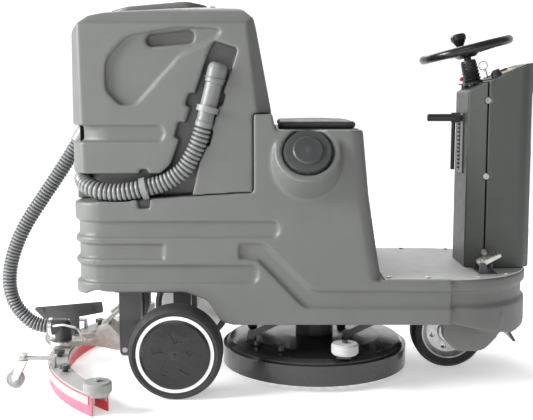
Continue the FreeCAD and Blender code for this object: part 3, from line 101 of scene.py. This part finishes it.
# ---------------------------------------------------------------- materials
class Shader:
    """A Principled material and the few node patterns used on it."""

    def __init__(self, name, color, roughness, metallic=0.0, **sockets):
        self.mat = bpy.data.materials.new(name)
        self.mat.use_nodes = True
        self.tree = self.mat.node_tree
        self.bsdf = self.tree.nodes["Principled BSDF"]
        self.bsdf.inputs["Base Color"].default_value = (*color, 1)
        self.bsdf.inputs["Roughness"].default_value = roughness
        self.bsdf.inputs["Metallic"].default_value = metallic
        for key, value in sockets.items():
            self.bsdf.inputs[key.replace("_", " ")].default_value = value
        self.color, self.roughness = color, roughness
        self.height = None
        self.coord = self.node("ShaderNodeTexCoord").outputs["Object"]

    def node(self, kind, **props):
        n = self.tree.nodes.new(kind)
        for key, value in props.items():
            setattr(n, key, value)
        return n

    def link(self, a, b):
        self.tree.links.new(a, b)

    def noise(self, scale, detail=4.0, rough=0.6, stretch=None):
        n = self.node("ShaderNodeTexNoise")
        n.inputs["Scale"].default_value = scale
        n.inputs["Detail"].default_value = detail
        n.inputs["Roughness"].default_value = rough
        source = self.coord
        if stretch:
            m = self.node("ShaderNodeMapping")
            m.inputs["Scale"].default_value = stretch
            self.link(source, m.inputs["Vector"])
            source = m.outputs["Vector"]
        self.link(source, n.inputs["Vector"])
        return n.outputs["Fac"]

    def ramp(self, value, low, high, out_low=0.0, out_high=1.0):
        n = self.node("ShaderNodeMapRange")
        for key, v in (("From Min", low), ("From Max", high), ("To Min", out_low), ("To Max", out_high)):
            n.inputs[key].default_value = v
        self.link(value, n.inputs["Value"])
        return n.outputs["Result"]

    def mix(self, factor, a, b):
        """Colour a where factor is 0 and b where it is 1; each is a colour or a socket."""
        n = self.node("ShaderNodeMix", data_type="RGBA")
        self.link(factor, n.inputs["Factor"])
        for key, c in (("A", a), ("B", b)):
            socket = [s for s in n.inputs if s.name == key and s.type == "RGBA"][0]
            if isinstance(c, tuple):
                socket.default_value = (*c, 1)
            else:
                self.link(c, socket)
        return [s for s in n.outputs if s.type == "RGBA"][0]

    def paint(self, socket):
        self.link(socket, self.bsdf.inputs["Base Color"])
        return self

    def mottle(self, scale, amount, tint=1.0):
        """Uneven colour, darker and lighter by amount."""
        dark = tuple(c * (1 - amount) for c in self.color)
        light = tuple(min(1.0, c * (1 + amount * tint)) for c in self.color)
        return self.paint(self.mix(self.ramp(self.noise(scale), 0.35, 0.65), dark, light))

    def vary_roughness(self, scale, spread):
        out = self.ramp(self.noise(scale, 6), 0.3, 0.7, self.roughness - spread, self.roughness + spread)
        self.link(out, self.bsdf.inputs["Roughness"])
        return self

    def bump(self, value, distance, strength=1.0):
        n = self.node("ShaderNodeBump")
        n.inputs["Distance"].default_value = distance
        n.inputs["Strength"].default_value = strength
        self.link(value, n.inputs["Height"])
        if self.height is not None:
            self.link(self.height, n.inputs["Normal"])
        self.height = n.outputs["Normal"]
        self.link(self.height, self.bsdf.inputs["Normal"])
        return self

    def wear(self, color, amount=0.5, low=0.52, high=0.6):
        """Rubbed edges: pointiness shows on convex edges only."""
        geo = self.node("ShaderNodeNewGeometry")
        edge = self.ramp(geo.outputs["Pointiness"], low, high, 0.0, amount)
        current = self.bsdf.inputs["Base Color"]
        base = current.links[0].from_socket if current.links else self.color
        return self.paint(self.mix(edge, base, color))


def moulded(name, color):
    """Rotomoulded polyethylene: pebbled skin, faint mottling, paler edges."""
    s = Shader(name, color, 0.46)
    s.mottle(9, 0.035).vary_roughness(40, 0.06)
    s.bump(s.noise(900, 2, 0.5), 0.00035, 0.5)
    s.bump(s.noise(14, 2, 0.4), 0.0022, 0.25)
    return s.wear(tuple(c * 1.35 for c in color), 0.35).mat


def plastic(name, color, roughness=0.42, grain=700):
    s = Shader(name, color, roughness).mottle(20, 0.08).vary_roughness(60, 0.07)
    s.bump(s.noise(grain, 2, 0.5), 0.00025, 0.35)
    return s.wear(tuple(min(1, c * 2.0 + 0.03) for c in color), 0.35).mat


def enamel(name, color, roughness=0.32):
    s = Shader(name, color, roughness, Coat_Weight=0.25, Coat_Roughness=0.18)
    s.mottle(6, 0.06).vary_roughness(25, 0.08)
    s.bump(s.noise(120, 3), 0.0003, 0.25)
    return s.wear(tuple(min(1, c * 1.5 + 0.05) for c in color), 0.4).mat


def zinc(name, color=(0.62, 0.61, 0.58), roughness=0.34):
    s = Shader(name, color, roughness, 1.0).mottle(45, 0.16).vary_roughness(30, 0.1)
    s.bump(s.noise(260, 3, 0.6, (1, 1, 12)), 0.0002, 0.3)
    return s.mat


def rubber(name, color, roughness=0.72):
    s = Shader(name, color, roughness).mottle(30, 0.14).vary_roughness(50, 0.08)
    s.bump(s.noise(500, 3), 0.0003, 0.4)
    return s.wear(tuple(min(1, c * 1.7 + 0.02) for c in color), 0.3).mat


def vinyl(name, color):
    """Grained black seat cover."""
    s = Shader(name, color, 0.5, Sheen_Weight=0.12)
    cells = s.node("ShaderNodeTexVoronoi", feature="DISTANCE_TO_EDGE")
    cells.inputs["Scale"].default_value = 420
    s.link(s.coord, cells.inputs["Vector"])
    s.mottle(18, 0.2).vary_roughness(30, 0.08)
    s.bump(s.ramp(cells.outputs["Distance"], 0.0, 0.12), 0.0004, 0.6)
    return s.mat


def studded_sheet(name, color):
    """Floor sheet with a small raised pattern."""
    s = Shader(name, color, 0.5, 0.15).mottle(12, 0.06).vary_roughness(30, 0.08)
    dots = s.node("ShaderNodeTexVoronoi", feature="F1")
    dots.inputs["Scale"].default_value = 160
    dots.inputs["Randomness"].default_value = 0.25
    s.link(s.coord, dots.inputs["Vector"])
    return s.bump(s.ramp(dots.outputs["Distance"], 0.2, 0.42, 1, 0), 0.0006, 0.5).mat


def ribbed(name, color):
    """Corrugated hose with painted shade: darker between the ribs."""
    s = Shader(name, color, 0.36).mottle(30, 0.1).vary_roughness(50, 0.08)
    s.bump(s.noise(500, 3), 0.0002, 0.3)
    groove_shade = s.node("ShaderNodeAttribute", attribute_name="groove_shade").outputs["Fac"]
    base = s.bsdf.inputs["Base Color"].links[0].from_socket
    # Painted shade: between the ribs the colour falls to 12 % of the hose colour, as if those recesses lay in
    # shadow.
    return s.paint(s.mix(s.ramp(groove_shade, 0.25, 0.85), base, tuple(c * 0.12 for c in color))).mat


def bristle_material(name):
    s = Shader(name, (0.74, 0.73, 0.70), 0.6).mottle(60, 0.2)
    return s.bump(s.noise(300, 2, 0.5, (1, 1, 0.05)), 0.001, 0.6).mat


GREY = (0.142, 0.147, 0.141)
MATERIALS = {}


def make_materials():
    m = MATERIALS
    m["body"] = moulded("body_grey", GREY)
    m["console"] = moulded("console_grey", (0.068, 0.075, 0.069))
    m["black"] = plastic("black_plastic", (0.018, 0.018, 0.019))
    m["charcoal"] = plastic("charcoal_plastic", (0.045, 0.047, 0.048), 0.4)
    m["gloss"] = plastic("gloss_black", (0.010, 0.010, 0.011), 0.26, 300)
    m["frame"] = enamel("frame_black", (0.03, 0.03, 0.032), 0.4)
    m["deck"] = enamel("deck_black", (0.012, 0.012, 0.013), 0.2)
    m["box"] = enamel("bracket_grey", (0.09, 0.09, 0.095), 0.42)
    m["bar"] = enamel("squeegee_grey", (0.27, 0.27, 0.265), 0.4)
    m["zinc"] = zinc("zinc_steel")
    m["cast"] = zinc("cast_silver", (0.6, 0.6, 0.6), 0.42)
    m["plate"] = studded_sheet("foot_plate_grey", (0.43, 0.44, 0.43))
    m["tyre"] = rubber("tyre_black", (0.022, 0.022, 0.023))
    m["ring"] = enamel("rim_white", (0.72, 0.72, 0.72), 0.35)
    m["roller"] = rubber("roller_grey", (0.27, 0.27, 0.265), 0.55)
    m["white"] = plastic("roller_white", (0.42, 0.42, 0.41), 0.45)
    m["hose"] = ribbed("hose_grey", (0.17, 0.175, 0.18))
    m["hose_light"] = ribbed("drain_hose_grey", (0.22, 0.225, 0.225))
    m["cuff"] = plastic("cuff_grey", (0.17, 0.175, 0.175), 0.4)
    m["pink"] = rubber("blade_pink", (0.60, 0.09, 0.15), 0.45)
    m["red"] = rubber("blade_red", (0.62, 0.02, 0.03), 0.4)
    m["button"] = plastic("button_red", (0.55, 0.01, 0.015), 0.25)
    m["orange"] = plastic("display_orange", (0.75, 0.22, 0.03), 0.2)
    m["seat"] = vinyl("seat_vinyl", (0.028, 0.028, 0.030))
    m["bristle"] = bristle_material("bristles")


CAD_LOOKS = {
    "console": ["column_rear_cover", "column_front_cover"],
    "black": ["control_panel", "steering_boot", "lift_lever", "brush_disc", "suction_elbow", "speed_knob",
              "batteries"],
    "charcoal": ["filler_cap"],
    "cuff": ["plastic_fittings", "drain_cap"],
    "gloss": ["wheel_knob", "horn_button", "hub_cap_left", "hub_cap_right", "steering_wheel"],
    "frame": ["chassis_frame", "steel_fittings", "seat_pan", "deck_arm_front", "deck_arm_rear",
              "steering_fork", "vacuum_motor", "brush_motor", "squeegee_trim"],
    "deck": ["deck_shell", "deck_skirt"],
    "bar": ["squeegee_bar"],
    "zinc": ["axles_and_bearings", "screws", "key", "pedal", "squeegee_arm", "lift_springs",
             "caster_fork_left", "caster_fork_right"],
    "cast": ["front_hub"],
    "plate": ["foot_plate"],
    "tyre": ["front_tyre", "rear_tyre_left", "rear_tyre_right"],
    "ring": ["rear_hub_left", "rear_hub_right"],
    "roller": ["squeegee_roller_left", "squeegee_roller_right", "caster_wheel_left", "caster_wheel_right"],
    "white": ["deck_roller"],
    "hose": ["suction_hose"],
    "hose_light": ["drain_hose"],
    "pink": ["rear_blade"],
    "red": ["front_blade"],
    "button": ["e_stop_button"],
    "orange": ["display"],
    "seat": ["seat_cushion"],
    "bristle": ["brush_bristles"],
    "body": ["main_body", "recovery_tank", "tank_lid"],
}


def dress(obj, look):
    obj.data.materials.clear()
    obj.data.materials.append(MATERIALS[look])


# ---------------------------------------------------------------- mesh helpers
def new_object(name, mesh):
    obj = bpy.data.objects.new(name, mesh)
    bpy.context.scene.collection.objects.link(obj)
    return obj


def apply_modifiers(obj):
    deps = bpy.context.evaluated_depsgraph_get()
    mesh = bpy.data.meshes.new_from_object(obj.evaluated_get(deps))
    obj.modifiers.clear()
    obj.data = mesh


def softened(node, voxel, passes):
    """A copy of a CAD node with its edges melted as a rotomoulding has them."""
    piece = new_object(node + "_skin", nodes[node].data.copy())
    remesh = piece.modifiers.new("voxels", "REMESH")
    remesh.mode, remesh.voxel_size, remesh.use_smooth_shade = "VOXEL", voxel, True
    soft = piece.modifiers.new("soft", "SMOOTH")
    soft.factor, soft.iterations = 0.5, passes
    apply_modifiers(piece)
    return piece


def adopt(piece, node, body, look):
    """The piece stands for that CAD node and on its body."""
    dress(piece, look)
    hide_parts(node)
    if body:
        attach(piece, body)
    return piece


# ---------------------------------------------------------------- hoses
SUCTION_ROUTE = [
    at(-595, 0, 697), at(-622, 0, 655), at(-660, 0, 597), at(-713, 0, 521), at(-766, 0, 443),
    at(-805, 0, 360), at(-824, 0, 272), at(-811, 0, 196), at(-765, 0, 140), at(-722, 0, 122),
    at(-690, 0, 122),
]
DRAIN_Y = -262
DRAIN_ROUTE = [
    at(-547, -64, 618), at(-547, -130, 611), at(-548, -196, 598), at(-511, -251, 577), at(-443, DRAIN_Y, 566),
    at(-369, DRAIN_Y, 578), at(-301, DRAIN_Y, 596), at(-251, DRAIN_Y, 629), at(-224, DRAIN_Y, 675),
    at(-205, DRAIN_Y, 716), at(-196, DRAIN_Y, 751),
]
SUCTION_R, DRAIN_R = 0.023, 0.025
SUCTION_PITCH, DRAIN_PITCH, RIB_DEPTH = 0.0105, 0.0125, 0.0036


def route_points(points):
    """Points along the smooth line through the route, and its length."""
    data = bpy.data.curves.new("route", "CURVE")
    data.dimensions = "3D"
    data.resolution_u = 24
    spline = data.splines.new("NURBS")
    spline.points.add(len(points) - 1)
    for target, p in zip(spline.points, points):
        target.co = (*p, 1)
    spline.order_u = 3
    spline.use_endpoint_u = True
    obj = new_object("route", data)
    bpy.context.view_layer.update()
    deps = bpy.context.evaluated_depsgraph_get()
    mesh = bpy.data.meshes.new_from_object(obj.evaluated_get(deps))
    line = [v.co.copy() for v in mesh.vertices]
    bpy.data.objects.remove(obj)
    length = sum((b - a).length for a, b in zip(line, line[1:]))
    return line, length


def resample(line, step):
    """Points a step apart along a line, with the direction at each."""
    out, carried = [], 0.0
    for a, b in zip(line, line[1:]):
        d = (b - a).length
        t = carried
        while t < d:
            out.append((a.lerp(b, t / d), (b - a).normalized()))
            t += step
        carried = t - d
    out.append((line[-1], (line[-1] - line[-2]).normalized()))
    return out


def tube(name, rings, around):
    """A closed tube through rings of points."""
    bm = bmesh.new()
    loops = [[bm.verts.new(p) for p in ring] for ring in rings]
    for a, b in zip(loops, loops[1:]):
        for j in range(around):
            bm.faces.new((a[j], a[(j + 1) % around], b[(j + 1) % around], b[j]))
    bm.faces.new(loops[0][::-1])
    bm.faces.new(loops[-1])
    bmesh.ops.recalc_face_normals(bm, faces=bm.faces)
    mesh = bpy.data.meshes.new(name)
    bm.to_mesh(mesh)
    bm.free()
    mesh.polygons.foreach_set("use_smooth", [True] * len(mesh.polygons))
    return new_object(name, mesh)


def turn(count):
    """The angles of one turn in equal steps."""
    return [2 * math.pi * j / count for j in range(count)]


def corrugated(name, line, radius, pitch, depth=RIB_DEPTH, around=40, per_rib=10):
    """A hose with rounded ribs along a line and closed ends. A point attribute, 1 between ribs, masks the
    painted shade there.
    """
    rows = resample(line, pitch / per_rib)
    rings, shade_mask_values = [], []
    side = Vector((0, 1, 0))
    for k, (p, d) in enumerate(rows):
        side = (side - d * side.dot(d)).normalized()
        up = d.cross(side)
        wave = (0.5 - 0.5 * math.cos(2 * math.pi * k / per_rib)) ** 0.6
        r = radius - depth * (1 - wave)
        shade_mask_values += [1 - wave] * around
        rings.append([p + (side * math.cos(a) + up * math.sin(a)) * r for a in turn(around)])
    hose = tube(name, rings, around)
    # The mask that places the painted shade between the ribs.
    hose.data.attributes.new("groove_shade", "FLOAT", "POINT").data.foreach_set("value", shade_mask_values)
    return hose


def coil(name, start, end, radius, wire, turns, around=8, per_turn=20):
    """A tension spring between two points, with closed wire ends."""
    axis = (end - start).normalized()
    side = axis.orthogonal().normalized()
    up = axis.cross(side)
    rings = []
    for k in range(turns * per_turn + 1):
        a = 2 * math.pi * k / per_turn
        out = side * math.cos(a) + up * math.sin(a)
        middle = start.lerp(end, k / (turns * per_turn)) + out * radius
        rings.append([middle + (out * math.cos(b) + axis * math.sin(b)) * wire for b in turn(around)])
    return tube(name, rings, around)


def joined(name, objects):
    """One object from several."""
    bm = bmesh.new()
    for obj in objects:
        bm.from_mesh(obj.data)
    mesh = bpy.data.meshes.new(name)
    bm.to_mesh(mesh)
    bm.free()
    for obj in objects:
        bpy.data.objects.remove(obj)
    return new_object(name, mesh)


SPRING_Y, SPRING_INSET = 66, 0.0015
SPRING_R, SPRING_WIRE, SPRING_TURNS = 0.0064, 0.0014, 16


def make_springs():
    coils = []
    for y in (-SPRING_Y, SPRING_Y):
        foot, end = at(-470, y, 190), at(-521, y, 150)
        inset = (end - foot).normalized() * SPRING_INSET
        coils.append(coil("coil", foot + inset, end - inset, SPRING_R, SPRING_WIRE, SPRING_TURNS))
    springs = joined("lift_springs_coiled", coils)
    adopt(springs, "lift_springs", None, "zinc")
    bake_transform(springs)


def make_hoses():
    line, length = route_points(SUCTION_ROUTE)
    hose = corrugated("suction_hose_ribbed", line, SUCTION_R, SUCTION_PITCH)
    adopt(hose, "suction_hose", None, "hose")
    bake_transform(hose)
    line, _ = route_points(DRAIN_ROUTE)
    drain = corrugated("drain_hose_ribbed", line, DRAIN_R, DRAIN_PITCH)
    adopt(drain, "drain_hose", CHASSIS, "hose_light")


# ---------------------------------------------------------------- mouldings and seat
# node: voxel size in metres, smoothing passes
MOULDINGS = {
    "main_body": (0.0045, 6),
    "recovery_tank": (0.004, 7),
    "tank_lid": (0.003, 4),
    "column_rear_cover": (0.003, 3),
    "column_front_cover": (0.003, 4),
}


def make_mouldings():
    for node, (voxel, passes) in MOULDINGS.items():
        piece = softened(node, voxel, passes)
        look = "console" if node.startswith("column") else "body"
        adopt(piece, node, frame["nodes"][node]["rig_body"], look)


SEAT_VOXEL, SEAT_CROWN, SEAT_DROP = 0.005, 0.005, 0.003


def make_seat():
    """Cushion with a crowned top, from the plain CAD block."""
    piece = new_object("seat_pad", nodes["seat_cushion"].data.copy())
    remesh = piece.modifiers.new("voxels", "REMESH")
    remesh.mode, remesh.voxel_size = "VOXEL", SEAT_VOXEL
    apply_modifiers(piece)
    low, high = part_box("seat_cushion")
    middle = [(a + b) / 2 for a, b in zip(low, high)]
    half = [(b - a) / 2 for a, b in zip(low, high)]
    for v in piece.data.vertices:
        u = (v.co.x - middle[0]) / half[0]
        w = (v.co.y - middle[1]) / half[1]
        if v.co.z > middle[2]:
            v.co.z += SEAT_CROWN * (1 - u * u) * (1 - w * w) - SEAT_DROP
    soft = piece.modifiers.new("soft", "SMOOTH")
    soft.factor, soft.iterations = 0.5, 4
    sub = piece.modifiers.new("fine", "SUBSURF")
    sub.levels = sub.render_levels = 1
    apply_modifiers(piece)
    piece.data.polygons.foreach_set("use_smooth", [True] * len(piece.data.polygons))
    adopt(piece, "seat_cushion", "seat", "seat")


# ---------------------------------------------------------------- stage
# name, place, target, size, power
LAMPS = (
    ("key", (-3.6, -1.3, 2.1), (0.1, 0, 0.7), 1.6, 260),
    ("front", (-0.8, -3.6, 2.6), (0, 0, 0.5), 2.2, 30),
    ("rim", (-0.5, 2.6, 3.4), (0, 0, 0.6), 2.5, 90),
)
FLOOR_GLOW, WORLD_LIGHT = 0.42, 0.3


def make_stage():
    """White floor that curves up behind, a white world and three soft lamps, the main one at the rear."""
    half, back, radius, top, steps = 14.0, 4.0, 3.0, 9.0, 12
    line = [(-half, 0.0), (back, 0.0)]
    for k in range(1, steps + 1):
        a = math.pi / 2 * k / steps
        line.append((back + radius * math.sin(a), radius * (1 - math.cos(a))))
    line.append((back + radius, top))
    verts = [(x, y, z) for y, z in line for x in (-half, half)]
    faces = [(2 * k, 2 * k + 1, 2 * k + 3, 2 * k + 2) for k in range(len(line) - 1)]
    floor = bpy.data.meshes.new("floor")
    floor.from_pydata(verts, [], faces)
    floor.polygons.foreach_set("use_smooth", [True] * len(faces))
    obj = new_object("floor", floor)
    s = Shader("floor_white", (0.92, 0.92, 0.92), 0.8, Emission_Color=(1, 1, 1, 1),
               Emission_Strength=FLOOR_GLOW)
    s.mottle(1.5, 0.01)
    obj.data.materials.append(s.mat)
    world = bpy.data.worlds.new("studio")
    bpy.context.scene.world = world
    world.use_nodes = True
    world.node_tree.nodes["Background"].inputs["Color"].default_value = (1, 1, 1, 1)
    world.node_tree.nodes["Background"].inputs["Strength"].default_value = WORLD_LIGHT
    for name, place, target, size, power in LAMPS:
        data = bpy.data.lights.new(name, "AREA")
        data.size, data.energy = size, power
        lamp = bpy.data.objects.new(name, data)
        lamp.location = place
        lamp.rotation_euler = (Vector(target) - Vector(place)).to_track_quat("-Z", "Y").to_euler()
        bpy.context.scene.collection.objects.link(lamp)
    bpy.context.scene.view_settings.view_transform = "Standard"


def dress_cad_nodes():
    """A material and flat shading on every CAD node."""
    for look, names in CAD_LOOKS.items():
        for n in names:
            dress(nodes[n], look)
            faces = nodes[n].data.polygons
            faces.foreach_set("use_smooth", [False] * len(faces))


make_camera()
make_materials()
make_hoses()
make_springs()
dress_cad_nodes()
make_mouldings()
make_seat()
make_stage()
